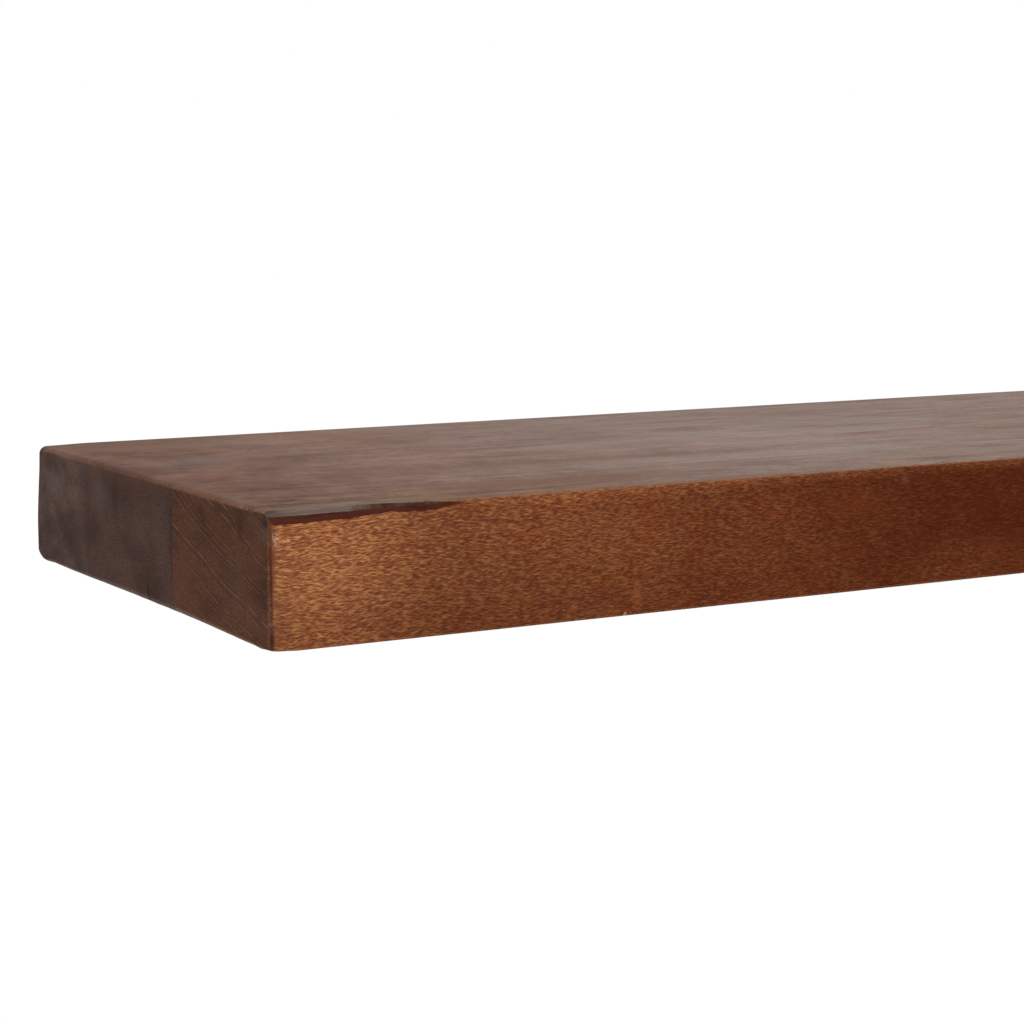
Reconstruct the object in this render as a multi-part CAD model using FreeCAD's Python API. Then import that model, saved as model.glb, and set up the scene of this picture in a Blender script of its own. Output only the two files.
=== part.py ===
import FreeCAD, Part
import math
import os

# Floating wall shelf: a plank of three edge-glued staves that slides onto steel rods,
# which stand out of a steel plate screwed to the wall and hidden in the plank.
# Millimetres. X runs along the shelf from its middle, Y = 0 is the wall's face and the
# plank reaches out towards -Y, and Z = 0 is the middle of the plank's thickness.

# ---- Plank ----
shelf_length = 914.4
shelf_depth = 254.0
shelf_thickness = 50.8
rear_stave_width = 66.0
middle_stave_width = 96.6
arris_radius = 3.0
wall_clearance = 0.3

# Waney corner: where the tree's outside cut off the top front arris at the left end.
# The facet is widest at the end and runs out into the rounded arris.
wane_drop = 5.4
wane_setback = 3.5
wane_run = 130.0

# ---- Wall plate, in a groove in the plank's rear edge ----
plate_end_cover = 50.8
plate_edge_cover = 6.35
plate_thickness = 6.35
plate_corner_radius = 3.0
groove_side_clearance = 1.0
groove_floor_clearance = 0.5

# Holes for the wall screws: slots over the studs and a countersunk hole at each end.
stud_spacing = 406.4
slot_width = 6.5
slot_length = 24.0
slot_screw_head = 14.0
slot_screw_head_height = 5.0
head_clearance = 1.5
end_hole_inset = 25.4
end_hole_diameter = 6.5
countersink_diameter = 12.5

# ---- Support rods, which reach into the front stave, and their lock nuts ----
rod_count = 4
rod_end_inset = 76.4
rod_diameter = 12.0
rod_front_reach = 21.4
rod_bore_clearance = 0.3
rod_tip_clearance = 3.0
rod_chamfer = 1.2
thread_clearance = 0.05
nut_across_flats = 18.0
nut_thickness = 6.0
nut_clearance = 1.5

# ---- Clamp screws in brass inserts, under the outer rods ----
clamp_setback = 40.0
clamp_screw_diameter = 6.0
clamp_screw_recess = 3.35
clamp_tip_gap = 0.05
clamp_tip_chamfer = 0.8
clamp_hole_clearance = 0.3
hex_key = 3.0
hex_key_depth = 4.0
insert_diameter = 10.0
insert_recess = 0.4
insert_cover = 5.7
insert_clearance = 0.02
insert_flange_diameter = 12.0
insert_flange_thickness = 1.2

# ---- Worked out from the sizes above ----
half_length = shelf_length / 2
half_thickness = shelf_thickness / 2
rear_y = -wall_clearance
front_y = rear_y - shelf_depth
rear_joint_y = rear_y - rear_stave_width
front_joint_y = rear_joint_y - middle_stave_width
stave_edges = {
    "rear_stave": (rear_joint_y, rear_y),
    "middle_stave": (front_joint_y, rear_joint_y),
    "front_stave": (front_y, front_joint_y),
}

plate_length = shelf_length - 2 * plate_end_cover
plate_height = shelf_thickness - 2 * plate_edge_cover
plate_front_y = -plate_thickness
groove_floor_y = plate_front_y - groove_floor_clearance

rod_tip_y = front_joint_y - rod_front_reach
rod_bore_end_y = rod_tip_y - rod_tip_clearance
rod_spread = plate_length - 2 * rod_end_inset
rod_pitch = rod_spread / (rod_count - 1)
rod_places = [i * rod_pitch - rod_spread / 2 for i in range(rod_count)]
nut_end_y = plate_front_y - nut_thickness
nut_across_corners = nut_across_flats / math.cos(math.pi / 6)

slot_places = [-stud_spacing / 2, stud_spacing / 2]
end_hole_places = [end_hole_inset - plate_length / 2, plate_length / 2 - end_hole_inset]
clamp_places = {"left": rod_places[0], "right": rod_places[-1]}
clamp_y = rear_y - clamp_setback
clamp_tip_z = -rod_diameter / 2 - clamp_tip_gap
clamp_foot_z = clamp_screw_recess - half_thickness
insert_foot_z = insert_recess - half_thickness
insert_head_z = -rod_diameter / 2 - rod_bore_clearance - insert_cover

TOWARDS_ROOM = FreeCAD.Vector(0, -1, 0)
UP = FreeCAD.Vector(0, 0, 1)


def rod_shape(diameter, x, from_y, to_y):
    """A cylinder at X = x on the plank's mid-plane, from from_y out to to_y."""
    start = FreeCAD.Vector(x, from_y, 0)
    return Part.makeCylinder(diameter / 2, from_y - to_y, start, TOWARDS_ROOM)


def post_shape(diameter, x, from_z, to_z):
    """An upright cylinder on a clamp screw's axis."""
    start = FreeCAD.Vector(x, clamp_y, from_z)
    return Part.makeCylinder(diameter / 2, to_z - from_z, start, UP)


def circles_at(solid, axis, place):
    """The round edges of a solid that lie in the plane axis = place."""
    return [
        edge
        for edge in solid.Edges
        if isinstance(edge.Curve, Part.Circle)
        and abs(getattr(edge.CenterOfMass, axis) - place) < 1e-6
    ]


def hexagon(across_flats, centre, direction, depth):
    """A hexagonal prism that starts at centre and runs depth along direction."""
    corner = across_flats / 2 / math.cos(math.pi / 6)
    around = FreeCAD.Rotation(UP, direction)
    points = []
    for i in range(7):
        angle = math.radians(60 * i + 30)
        flat = FreeCAD.Vector(corner * math.cos(angle), corner * math.sin(angle), 0)
        points.append(centre + around.multVec(flat))
    return Part.Face(Part.makePolygon(points)).extrude(direction * depth)


def slot_shape(length, width, x, from_y, to_y):
    """A round-ended slot along X, centred at X = x, from from_y out to to_y."""
    reach = (length - width) / 2
    ends = [rod_shape(width, x + side * reach, from_y, to_y) for side in (-1, 1)]
    corner = FreeCAD.Vector(x - reach, to_y, -width / 2)
    middle = Part.makeBox(2 * reach, from_y - to_y, width, corner)
    return ends[0].fuse([middle, ends[1]]).removeSplitter()


def plank():
    """The whole glued plank, with eased arrises and the waney corner."""
    corner = FreeCAD.Vector(-half_length, front_y, -half_thickness)
    block = Part.makeBox(shelf_length, shelf_depth, shelf_thickness, corner)
    block = block.makeFillet(arris_radius, block.Edges)
    on_top = FreeCAD.Vector(-half_length, front_y + wane_setback, half_thickness)
    on_front = FreeCAD.Vector(-half_length, front_y, half_thickness - wane_drop)
    run_out = FreeCAD.Vector(-half_length + wane_run, front_y, half_thickness)
    outwards = (on_front - on_top).cross(run_out - on_top).normalize()
    waste = Part.makeCylinder(wane_run, shelf_thickness, on_top, outwards)
    return block.cut(waste)


def rear_groove():
    """What is routed out of the plank for the plate, its nuts and its screw heads."""
    length = plate_length + 2 * groove_side_clearance
    height = plate_height + 2 * groove_side_clearance
    corner = FreeCAD.Vector(-length / 2, groove_floor_y, -height / 2)
    pieces = [Part.makeBox(length, rear_y - groove_floor_y + arris_radius, height, corner)]
    nut_pocket = nut_across_corners + 2 * nut_clearance
    for x in rod_places:
        pieces.append(rod_shape(nut_pocket, x, rear_y, nut_end_y - nut_clearance))
    head_width = slot_screw_head + 2 * head_clearance
    head_length = slot_length - slot_width + head_width
    head_floor_y = plate_front_y - slot_screw_head_height - head_clearance
    for x in slot_places:
        pieces.append(slot_shape(head_length, head_width, x, rear_y, head_floor_y))
    return pieces


def rod_bores():
    """The bores that the support rods slide into."""
    diameter = rod_diameter + 2 * rod_bore_clearance
    return [rod_shape(diameter, x, rear_y, rod_bore_end_y) for x in rod_places]


def clamp_bores():
    """The stepped holes in the underside for the inserts and their clamp screws."""
    pieces = []
    for x in clamp_places.values():
        insert_bore = insert_diameter + 2 * insert_clearance
        flange_bore = insert_flange_diameter + 2 * insert_clearance
        flange_top_z = insert_foot_z + insert_flange_thickness
        screw_bore = clamp_screw_diameter + 2 * clamp_hole_clearance
        pieces.append(post_shape(insert_bore, x, -half_thickness, insert_head_z))
        pieces.append(post_shape(flange_bore, x, -half_thickness, flange_top_z))
        pieces.append(post_shape(screw_bore, x, -half_thickness, 0))
    return pieces


def staves():
    """The three staves, cut from the plank between their glue joints."""
    whole = plank().cut(rear_groove() + rod_bores() + clamp_bores())
    pieces = {}
    for name, (near_y, far_y) in stave_edges.items():
        corner = FreeCAD.Vector(-shelf_length, near_y, -shelf_thickness)
        slab = Part.makeBox(2 * shelf_length, far_y - near_y, 2 * shelf_thickness, corner)
        pieces[name] = whole.common(slab)
    return pieces


def wall_plate():
    """The steel bar that is screwed to the wall and carries the rods."""
    corner = FreeCAD.Vector(-plate_length / 2, plate_front_y, -plate_height / 2)
    bar = Part.makeBox(plate_length, plate_thickness, plate_height, corner)
    corners = [edge for edge in bar.Edges if abs(edge.tangentAt(edge.FirstParameter).y) > 0.5]
    bar = bar.makeFillet(plate_corner_radius, corners)
    holes = []
    for x in rod_places:
        tapping = rod_diameter + 2 * thread_clearance
        holes.append(rod_shape(tapping, x, 0, plate_front_y))
    for x in slot_places:
        holes.append(slot_shape(slot_length, slot_width, x, 0, plate_front_y))
    sink_depth = (countersink_diameter - end_hole_diameter) / 2
    for x in end_hole_places:
        holes.append(rod_shape(end_hole_diameter, x, 0, plate_front_y))
        mouth = FreeCAD.Vector(x, plate_front_y, 0)
        radii = (countersink_diameter / 2, end_hole_diameter / 2)
        holes.append(Part.makeCone(*radii, sink_depth, mouth, -TOWARDS_ROOM))
    return bar.cut(holes)


def support_rod(x):
    """A steel rod whose rear end is screwed through the plate, flush with its back."""
    rod = rod_shape(rod_diameter, x, 0, rod_tip_y)
    return rod.makeChamfer(rod_chamfer, circles_at(rod, "y", rod_tip_y))


def lock_nut(x):
    """A thin hexagon nut that locks a rod against the plate's front face."""
    seat = FreeCAD.Vector(x, plate_front_y, 0)
    nut = hexagon(nut_across_flats, seat, TOWARDS_ROOM, nut_thickness)
    turning = rod_shape(nut_across_corners, x, plate_front_y, nut_end_y)
    corner_cut = (nut_across_corners - nut_across_flats) / 2
    turning = turning.makeChamfer(corner_cut, circles_at(turning, "y", nut_end_y))
    bore = rod_shape(rod_diameter + 2 * thread_clearance, x, plate_front_y, nut_end_y)
    return nut.common(turning).cut(bore)


def clamp_insert(x):
    """A flanged brass sleeve, threaded inside, in the plank's underside."""
    sleeve = post_shape(insert_diameter, x, insert_foot_z, insert_head_z)
    flange_top_z = insert_foot_z + insert_flange_thickness
    flange = post_shape(insert_flange_diameter, x, insert_foot_z, flange_top_z)
    thread = clamp_screw_diameter + 2 * thread_clearance
    return sleeve.fuse(flange).cut(post_shape(thread, x, insert_foot_z, insert_head_z))


def clamp_screw(x):
    """A headless socket screw whose tip locks the plank to the rod above it."""
    screw = post_shape(clamp_screw_diameter, x, clamp_foot_z, clamp_tip_z)
    screw = screw.makeChamfer(clamp_tip_chamfer, circles_at(screw, "z", clamp_tip_z))
    foot = FreeCAD.Vector(x, clamp_y, clamp_foot_z)
    return screw.cut(hexagon(hex_key, foot, UP, hex_key_depth))


nodes = staves()
nodes["wall_plate"] = wall_plate()
for number, rod_x in enumerate(rod_places, 1):
    nodes[f"support_rod_{number}"] = support_rod(rod_x)
    nodes[f"lock_nut_{number}"] = lock_nut(rod_x)
for side, clamp_x in clamp_places.items():
    nodes[f"clamp_insert_{side}"] = clamp_insert(clamp_x)
    nodes[f"clamp_screw_{side}"] = clamp_screw(clamp_x)

os.makedirs("parts", exist_ok=True)
for name, shape in nodes.items():
    shape.exportStep(f"parts/{name}.step")
    print(f"{name}: {len(shape.Solids)} solid, {shape.Volume / 1000:.2f} cm3, valid {shape.isValid()}")
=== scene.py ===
"""Floating wall shelf: a glued plank of three staves and the hidden steel bracket it slides onto.

Metres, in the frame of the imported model: X along the shelf, Y = 0 on the wall with the
shelf towards -Y, and Z = 0 in the middle of the plank's thickness.
"""

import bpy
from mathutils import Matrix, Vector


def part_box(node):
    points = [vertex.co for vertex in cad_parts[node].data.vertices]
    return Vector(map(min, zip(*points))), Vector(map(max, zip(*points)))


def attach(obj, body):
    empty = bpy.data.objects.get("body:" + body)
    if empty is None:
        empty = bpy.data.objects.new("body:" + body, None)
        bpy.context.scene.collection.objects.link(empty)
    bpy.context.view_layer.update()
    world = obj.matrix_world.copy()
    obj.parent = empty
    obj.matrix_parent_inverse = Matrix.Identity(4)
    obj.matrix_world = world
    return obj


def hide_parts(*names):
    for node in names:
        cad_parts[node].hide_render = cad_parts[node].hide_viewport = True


bl_info = {
    "name": "Floating Wall Shelf",
    "version": (1, 0, 0),
    "blender": (4, 5, 0),
    "location": "3D View > Sidebar > Shelf",
    "description": "Builds a plank of three glued staves and the hidden steel bracket it slides onto",
    "category": "Object",
}

import math

import bmesh
import bpy
from bpy.props import FloatProperty, FloatVectorProperty, PointerProperty
from mathutils import Matrix, Vector, noise

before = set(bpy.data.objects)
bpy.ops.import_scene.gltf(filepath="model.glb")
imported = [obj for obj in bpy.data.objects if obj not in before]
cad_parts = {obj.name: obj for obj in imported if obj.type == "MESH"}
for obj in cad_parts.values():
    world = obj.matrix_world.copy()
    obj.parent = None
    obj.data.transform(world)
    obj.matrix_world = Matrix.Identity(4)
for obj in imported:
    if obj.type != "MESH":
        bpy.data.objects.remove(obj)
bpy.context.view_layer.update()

MM = 0.001
SLIVER = 2e-6  # Edges shorter than this, in metres, are merged after a cut.
TOUCH = 1e-6  # Points nearer than this, in metres, are at the same place.
THREAD_ROOM = 0.05 * MM  # Radial gap between parts that screw together.
SLEEVE_SHARE = 5 / 12  # An insert sleeve's radius, as a share of its flange's width.
X, Y, Z = 0, 1, 2
ORIGIN = (0.0, 0.0, 0.0)


def nodes_called(start):
    """The model's nodes whose names begin with start, in order."""
    return [name for name in sorted(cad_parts) if name.startswith(start)]


RODS = nodes_called("support_rod")
NUTS = nodes_called("lock_nut")
INSERTS = nodes_called("clamp_insert")
CLAMP_SCREWS = nodes_called("clamp_screw")


def srgb(red, green, blue):
    """A colour named by its 0-255 screen values, as the linear values a shader takes."""
    def linear(value):
        value /= 255
        return value / 12.92 if value <= 0.04045 else ((value + 0.055) / 1.055) ** 2.4
    return (linear(red), linear(green), linear(blue))


# ---------------------------------------------------------------- properties

def length(description, default):
    """A length, whose default is in millimetres."""
    return FloatProperty(
        description=description, default=default * MM, unit="LENGTH", subtype="DISTANCE")


def angle(description, default):
    """An angle, whose default is in degrees."""
    return FloatProperty(
        description=description, default=math.radians(default), subtype="ANGLE")


def number(description, default):
    return FloatProperty(description=description, default=default)


def colour(description, default):
    return FloatVectorProperty(
        description=description, default=default, subtype="COLOR", size=3, min=0, max=1)


class PlankSizes(bpy.types.PropertyGroup):
    blank_rounding: length("Rounding of the arrises before they are worn", 7)
    arris_radius: length("Usual rounding of an arris", 2.6)
    front_radius: length("Rounding of the front stave's arrises", 1.7)
    worn_radius: length("Rounding of the left end's corners at the top", 3.2)
    crisp_radius: length("Rounding of the left end's corners lower down", 1.2)
    foot_radius: length("Rounding of the front left corner's foot, seen from above", 4.8)
    heel_height: length("Height of the rounding at the rear left corner's foot", 6.5)
    heel_depth: length("Its depth from the rear face", 15)
    heel_length: length("How far it runs along the shelf", 40)
    corner_lean: length("How far the rear left corner is rubbed in at its top", 3.4)
    hollow: length("Extra rounding midway under the left end", 1.5)
    joint_chamfer: length("Fine chamfer on each side of a glue line", 0.12)
    slice_pitch: length("Length of the mesh's slices along the shelf", 4)
    bore_clearance: length("Gap around each rod in its bore", 0.3)
    bore_end_room: length("Gap between a rod's tip and its bore's end", 3)
    groove_room: length("Gap around the plate in its groove", 1)
    groove_floor_room: length("Gap between plate and groove floor", 0.5)
    nut_room: length("Gap around a lock nut in its pocket", 1.5)
    head_pocket_width: length("Width of a screw-head pocket", 17)
    head_pocket_length: length("Length of a screw-head pocket", 34.5)
    head_pocket_depth: length("Depth of a screw-head pocket in front of the plate", 6.5)


class MetalSizes(bpy.types.PropertyGroup):
    rod_thread_pitch: length("Pitch of the M12 thread", 1.75)
    rod_thread_depth: length("Depth of the M12 thread", 0.95)
    rod_thread_length: length("Threaded length at a rod's rear", 20)
    rod_tip_chamfer: length("Chamfer at a rod's tip", 1.2)
    clamp_thread_pitch: length("Pitch of the M6 thread", 1)
    clamp_thread_depth: length("Depth of the M6 thread", 0.5)
    clamp_key: length("Width across flats of the key socket", 3)
    clamp_key_depth: length("Depth of the key socket", 4)
    plate_corner: length("Corner radius of the wall plate", 3)
    plate_edge: length("Rounding of the wall plate's edges", 0.5)
    slot_spacing: length("Distance between the two slots", 406.4)
    slot_length: length("Length of a slot", 24)
    slot_width: length("Width of a slot", 6.5)
    end_hole_inset: length("From the plate's end to its screw hole", 25.4)
    end_hole: length("Diameter of an end screw hole", 6.5)
    countersink: length("Diameter of its countersink", 12.5)
    insert_flange: length("Thickness of an insert's flange", 1.2)


class StageSizes(bpy.types.PropertyGroup):
    lens: number("Focal length in millimetres", 81.65)
    camera_x: length("Camera place along the shelf", -786.86)
    camera_y: length("Camera place in front of the wall", -997.3)
    camera_z: length("Camera height over the plank's middle", 136.59)
    camera_yaw: angle("Turn to the right of straight at the wall", 29.965)
    camera_pitch: angle("Tilt below the horizon", 7.822)
    floor_drop: length("How far the floor lies below the shelf", 1100)
    floor_size: length("Side of the square floor", 60000)


def stave_settings(**own):
    """The colours and growth rings of one stave: its own, and otherwise the front stave's.

    Lengths are in millimetres, and colours are linear.
    """
    rows = {
        colour: {
            "side_light": ("Ray flecks on the long edges", srgb(188, 137, 88)),
            "side_mid": ("Wood between the flecks", srgb(143, 86, 53)),
            "side_dark": ("Shadowed wood between the flecks", srgb(108, 63, 46)),
            "side_stain": ("What the deepest stain lets through", (0.255, 0.153, 0.14)),
            "fleck_stain": ("What it lets through on the flecks", (0.274, 0.146, 0.119)),
            "top_light": ("Pale streaks of the top and underside", srgb(108, 72, 52)),
            "top_dark": ("Dark streaks of the top and underside", srgb(84, 52, 37)),
            # The grey veil is painted sheen: the light that the top reflects at a grazing angle.
            "top_veil": ("Grey veil over the top and underside", srgb(155, 131, 118)),
            "end_light": ("Pale patches of the end grain", srgb(94, 62, 48)),
            "end_dark": ("Dark patches of the end grain", srgb(70, 46, 37)),
            "ring_line": ("Growth ring lines on the end grain", srgb(124, 92, 68))},
        number: {
            "end_warmth": ("How plainly the end grain's red patches show", 0.5),
            "ring_strength": ("How plainly the growth rings show", 0.75),
            "wear": ("How pale the arrises are rubbed", 0.5)},
        length: {
            "figure_shift": ("Where the streaks are taken from the tree", 0),
            "pith_y": ("The tree's centre, from the wall", -350),
            "pith_z": ("The tree's centre, over the plank's middle", 480),
            "ring_spacing": ("Width of a growth ring", 1.65),
            "ring_bend": ("How far the rings bend round the top front arris", 10)}}
    return {
        key: kind(text, own.get(key, usual))
        for kind, table in rows.items() for key, (text, usual) in table.items()}


class FrontColours(bpy.types.PropertyGroup):
    __annotations__ = stave_settings()


class MiddleColours(bpy.types.PropertyGroup):
    __annotations__ = stave_settings(
        end_light=srgb(88, 66, 59), end_dark=srgb(66, 49, 44), end_warmth=0.15,
        ring_strength=0.16, wear=0.12, figure_shift=1350, pith_y=-150, pith_z=-260, ring_bend=0)


class RearColours(bpy.types.PropertyGroup):
    __annotations__ = stave_settings(
        end_light=srgb(103, 81, 75), end_dark=srgb(68, 52, 47), end_warmth=0.15,
        ring_strength=0.2, wear=0.2, figure_shift=2710, pith_y=60, pith_z=330, ring_bend=0)


# ---------------------------------------------------------------- node helpers

class Value:
    """A node's output. Its + - * and / with other outputs or numbers add a math node each."""

    def __init__(self, nodes, socket):
        self.nodes = nodes
        self.socket = socket


for sign, operation in (("add", "ADD"), ("sub", "SUBTRACT"), ("mul", "MULTIPLY"), ("truediv", "DIVIDE")):
    setattr(Value, f"__{sign}__", lambda one, other, op=operation: one.nodes.math(op, one, other))
    setattr(Value, f"__r{sign}__", lambda one, other, op=operation: one.nodes.math(op, other, one))


def has_parts(value):
    """Whether a value has several parts, as a place or a colour has."""
    if isinstance(value, Value):
        return value.socket.type in ("VECTOR", "RGBA")
    return hasattr(value, "__len__")


class Nodes:
    """Adds shader nodes to one tree and links them, a line for each."""

    def __init__(self, tree):
        self.tree = tree

    def add(self, kind, **attributes):
        node = self.tree.nodes.new(kind)
        for key, value in attributes.items():
            setattr(node, key, value)
        return node

    def output(self, node, key=0):
        return Value(self, node.outputs[key])

    def outputs(self, node):
        return {socket.name: Value(self, socket) for socket in node.outputs}

    def put(self, node, **inputs):
        """Sets or links inputs by name, with an underscore for each space."""
        for key, value in inputs.items():
            self.feed(node.inputs[key.replace("_", " ")], value)
        return node

    def feed(self, socket, value):
        """Links an output to an input, or sets the input to one number or several."""
        if isinstance(value, Value):
            self.tree.links.new(value.socket, socket)
        elif hasattr(socket.default_value, "__len__"):
            parts = value if has_parts(value) else (value,) * 3
            socket.default_value = (*parts, 1)[:len(socket.default_value)]
        else:
            socket.default_value = value

    def math(self, operation, *values, clamp=False):
        """One operation, worked out for each part if a value has several."""
        wide = any(has_parts(value) for value in values)
        node = self.add("ShaderNodeVectorMath" if wide else "ShaderNodeMath", operation=operation)
        if clamp:
            node.use_clamp = True
        for socket, value in zip(node.inputs, values):
            self.feed(socket, value)
        return self.output(node, 1 if operation == "LENGTH" else 0)

    def split(self, vector):
        return list(self.outputs(self.put(self.add("ShaderNodeSeparateXYZ"), Vector=vector)).values())

    def join(self, x, y, z):
        return self.output(self.put(self.add("ShaderNodeCombineXYZ"), X=x, Y=y, Z=z))

    def noise(self, vector, detail=2, roughness=0.5, distortion=0):
        node = self.add("ShaderNodeTexNoise")
        self.put(node, Vector=vector, Scale=1, Detail=detail, Roughness=roughness)
        return self.output(self.put(node, Distortion=distortion), "Fac")

    def ramp(self, value, low, high, to_low=0, to_high=1):
        """Maps low..high smoothly onto to_low..to_high and holds it outside."""
        node = self.add("ShaderNodeMapRange", interpolation_type="SMOOTHSTEP")
        self.put(node, Value=value, From_Min=low, From_Max=high)
        return self.output(self.put(node, To_Min=to_low, To_Max=to_high))

    def mix(self, factor, first, second):
        """Goes from the first colour to the second as the factor rises from 0 to 1."""
        node = self.add("ShaderNodeMix", data_type="RGBA")
        self.feed(node.inputs["Factor"], factor)
        self.feed(node.inputs[6], first)
        self.feed(node.inputs[7], second)
        return self.output(node, 2)

    def bump(self, height, strength, distance):
        """A normal that follows a height, whose full relief is distance in metres."""
        node = self.put(self.add("ShaderNodeBump"), Height=height, Strength=strength)
        return self.output(self.put(node, Distance=distance))


def shader_group(name, inputs, build):
    """A new shader node group with named inputs and outputs, whose nodes build adds."""
    tree = bpy.data.node_groups.new(name, "ShaderNodeTree")
    for key, usual in inputs.items():
        kind = "NodeSocketVector" if has_parts(usual) else "NodeSocketFloat"
        tree.interface.new_socket(key, in_out="INPUT", socket_type=kind).default_value = usual
    n = Nodes(tree)
    inside = n.outputs(n.add("NodeGroupInput"))
    made = build(n, *(inside[key] for key in inputs))
    for key in made:
        tree.interface.new_socket(key, in_out="OUTPUT", socket_type="NodeSocketFloat")
    n.put(n.add("NodeGroupOutput"), **made)
    return tree


def effect(**inputs):
    """Makes a function into a shared shader node group, which is built when it is first used.

    The function takes a helper and the group's inputs, whose usual values are given here,
    and returns the group's outputs by name. Calling it puts the group into a tree.
    """
    def decorate(build):
        name = build.__name__.replace("_", " ").title()

        def put_in(n, **values):
            tree = bpy.data.node_groups.get(name) or shader_group(name, inputs, build)
            return n.outputs(n.put(n.add("ShaderNodeGroup", node_tree=tree), **values))
        return put_in
    return decorate


def new_material(name, base_colour, roughness, metallic=0.0):
    """A material with one Principled shader: (material, helper, shader node)."""
    material = bpy.data.materials.new(name)
    material.use_nodes = True
    n = Nodes(material.node_tree)
    shader = material.node_tree.nodes["Principled BSDF"]
    n.put(shader, Base_Color=base_colour, Roughness=roughness, Metallic=metallic)
    material.diffuse_color = (*base_colour, 1)
    return material, n, shader


def place_in_mm(n):
    """Object coordinates in millimetres."""
    return n.output(n.add("ShaderNodeTexCoord"), "Object") * 1000


# ---------------------------------------------------------------- shared effects

@effect()
def facing(n):
    """Which way the surface faces: end grain, front or rear, and rounded arris.

    The end's and the front's colours run on under the bottom arrises.
    """
    normal = n.output(n.add("ShaderNodeTexCoord"), "Normal")
    x, y, z = n.split(n.math("ABSOLUTE", normal))
    under = n.ramp(n.split(normal)[Z], -0.1, -0.9) * 0.5
    steepest = n.math("MAXIMUM", n.math("MAXIMUM", x, y), z)
    return {
        "End": n.ramp(x + under, 0.85, 0.95),
        "Side": n.ramp(y + under, 0.7, 0.8),
        "Arris": n.ramp(steepest, 0.995, 0.85)}


@effect(Place=ORIGIN)
def ray_flecks(n, place):
    """Thin wavy strokes of ray tissue on a radial face, two lots of them braided together."""
    x, y, z = n.split(place)
    sway = n.noise(place * (0.03, 0.05, 0.05), detail=1) * 3
    wave = n.noise(place * (0.25, 0.1, 0.3), detail=1) * 0.9
    level = z + (sway + wave)

    def strokes(lean, long, shift, high=0.42):
        """Strokes of a length and height in mm, which lean out of the level."""
        stretched = n.join(x / long, y * 0.12 + shift, (level - x * lean) / high)
        return n.noise(stretched, detail=1, roughness=0.4, distortion=0.1)

    main, crossing = strokes(-0.09, 2.6, 0), strokes(0.15, 2.34, 7.3)
    both = n.math("MAXIMUM", main, crossing) * 0.6 + (main + crossing) * 0.2
    return {
        "Fleck": n.math("POWER", n.ramp(both, 0.3, 0.82), 1.3),
        "Grit": n.noise(place * (1.1, 1, 2.6))}


@effect(Place=ORIGIN, Pith=ORIGIN, Spacing=1.8, Bend=0.0, Centre=ORIGIN)
def growth_rings(n, place, pith, spacing, bend, centre):
    """Growth rings around a pith that lies along the shelf, as thin lines of uneven spacing.

    Near the centre they bend, by an amount in mm.
    """
    def distance(line):
        """How far the place is from a line along the shelf."""
        return n.math("LENGTH", (place - line) * (0, 1, 1))

    wobble = n.noise(place * (0.01, 0.035, 0.05), detail=1.5, roughness=0.4)
    radius = wobble * 5 + distance(pith) - n.ramp(distance(centre), 40, 4) * bend
    years = n.noise(n.join(radius * 0.11, 3.7, 0.4), detail=1)
    turns = (years * 9 + radius) / spacing
    strength = n.add("ShaderNodeTexWhiteNoise", noise_dimensions="1D")
    n.put(strength, W=n.math("FLOOR", turns))
    from_line = n.math("ABSOLUTE", n.math("FRACT", turns) - 0.5)
    broken = n.ramp(n.noise(place * (0.3, 0.09, 0.4)), 0.3, 0.55)
    line = n.ramp(from_line, 0.19, 0.05) * broken
    return {
        "Line": line * (n.output(strength) * 0.7 + 0.3),
        "Band": n.ramp(from_line, 0.5, 0.15)}


@effect(Place=ORIGIN, Length=26.0, Width=9.0)
def grain_streaks(n, place, long, wide):
    """Long soft streaks along the shelf, finer ones, thin lines, and short dark pores."""
    x, y, z = n.split(place)
    drift = n.noise(place * (0.012, 0.02, 0.02), detail=1) * 6
    soft = n.join(x / long, (y + drift) / wide, z / wide)
    soft = n.noise(soft, detail=4, roughness=0.6, distortion=0.5)
    fine = n.noise(place * (0.14, 0.48, 0.48), detail=3, roughness=0.7)
    thin = n.noise(place * (0.022, 0.9, 0.9), detail=3, roughness=0.6, distortion=0.3)
    pores = n.noise(place * (0.22, 1.6, 1.6))
    return {
        "Streak": n.ramp(soft, 0.3, 0.7),
        "Fine": n.ramp(fine, 0.3, 0.7),
        "Line": n.ramp(thin, 0.32, 0.68),
        "Pores": n.ramp(pores, 0.57, 0.68)}


@effect(Place=ORIGIN, Size=40.0)
def stain_blotches(n, place, size):
    """Uneven take-up of stain, in soft patches."""
    place = place / size
    other = n.noise((place + (5.2, 1.3, 9.1)) * 1.6, detail=3)
    return {
        "Blotch": n.ramp(n.noise(place, detail=3, roughness=0.55), 0.3, 0.7),
        "Patch": n.ramp(other, 0.5, 0.66)}


@effect(Place=ORIGIN, Centre=ORIGIN, Reach=(1.0, 1.0, 1.0), Rag=0.6, Speckle=0.0)
def surface_mark(n, place, centre, reach, rag, speckle):
    """One ragged mark on the surface, such as a scuff or a stain, around a centre."""
    edge = n.noise(place * 0.5) * rag + n.math("LENGTH", (place - centre) / reach)
    whole = n.ramp(edge, rag * 0.5 + 1, 0.3)
    gaps = n.ramp(n.noise(place * (2.6, 1.4, 1.9), detail=1), 0.56, 0.48)
    return {"Mark": n.math("SUBTRACT", whole, gaps * speckle, clamp=True)}


@effect(Place=ORIGIN, Size=0.5)
def metal_speckle(n, place, size):
    """A fine grain for coated, plated and turned metal: a height and a soft mottle."""
    return {
        "Grain": n.noise(place / size),
        "Mottle": n.ramp(n.noise(place * 0.14, detail=3), 0.3, 0.7)}


# ---------------------------------------------------------------- wood
# The places in this section are in millimetres, in the model's frame.

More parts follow.
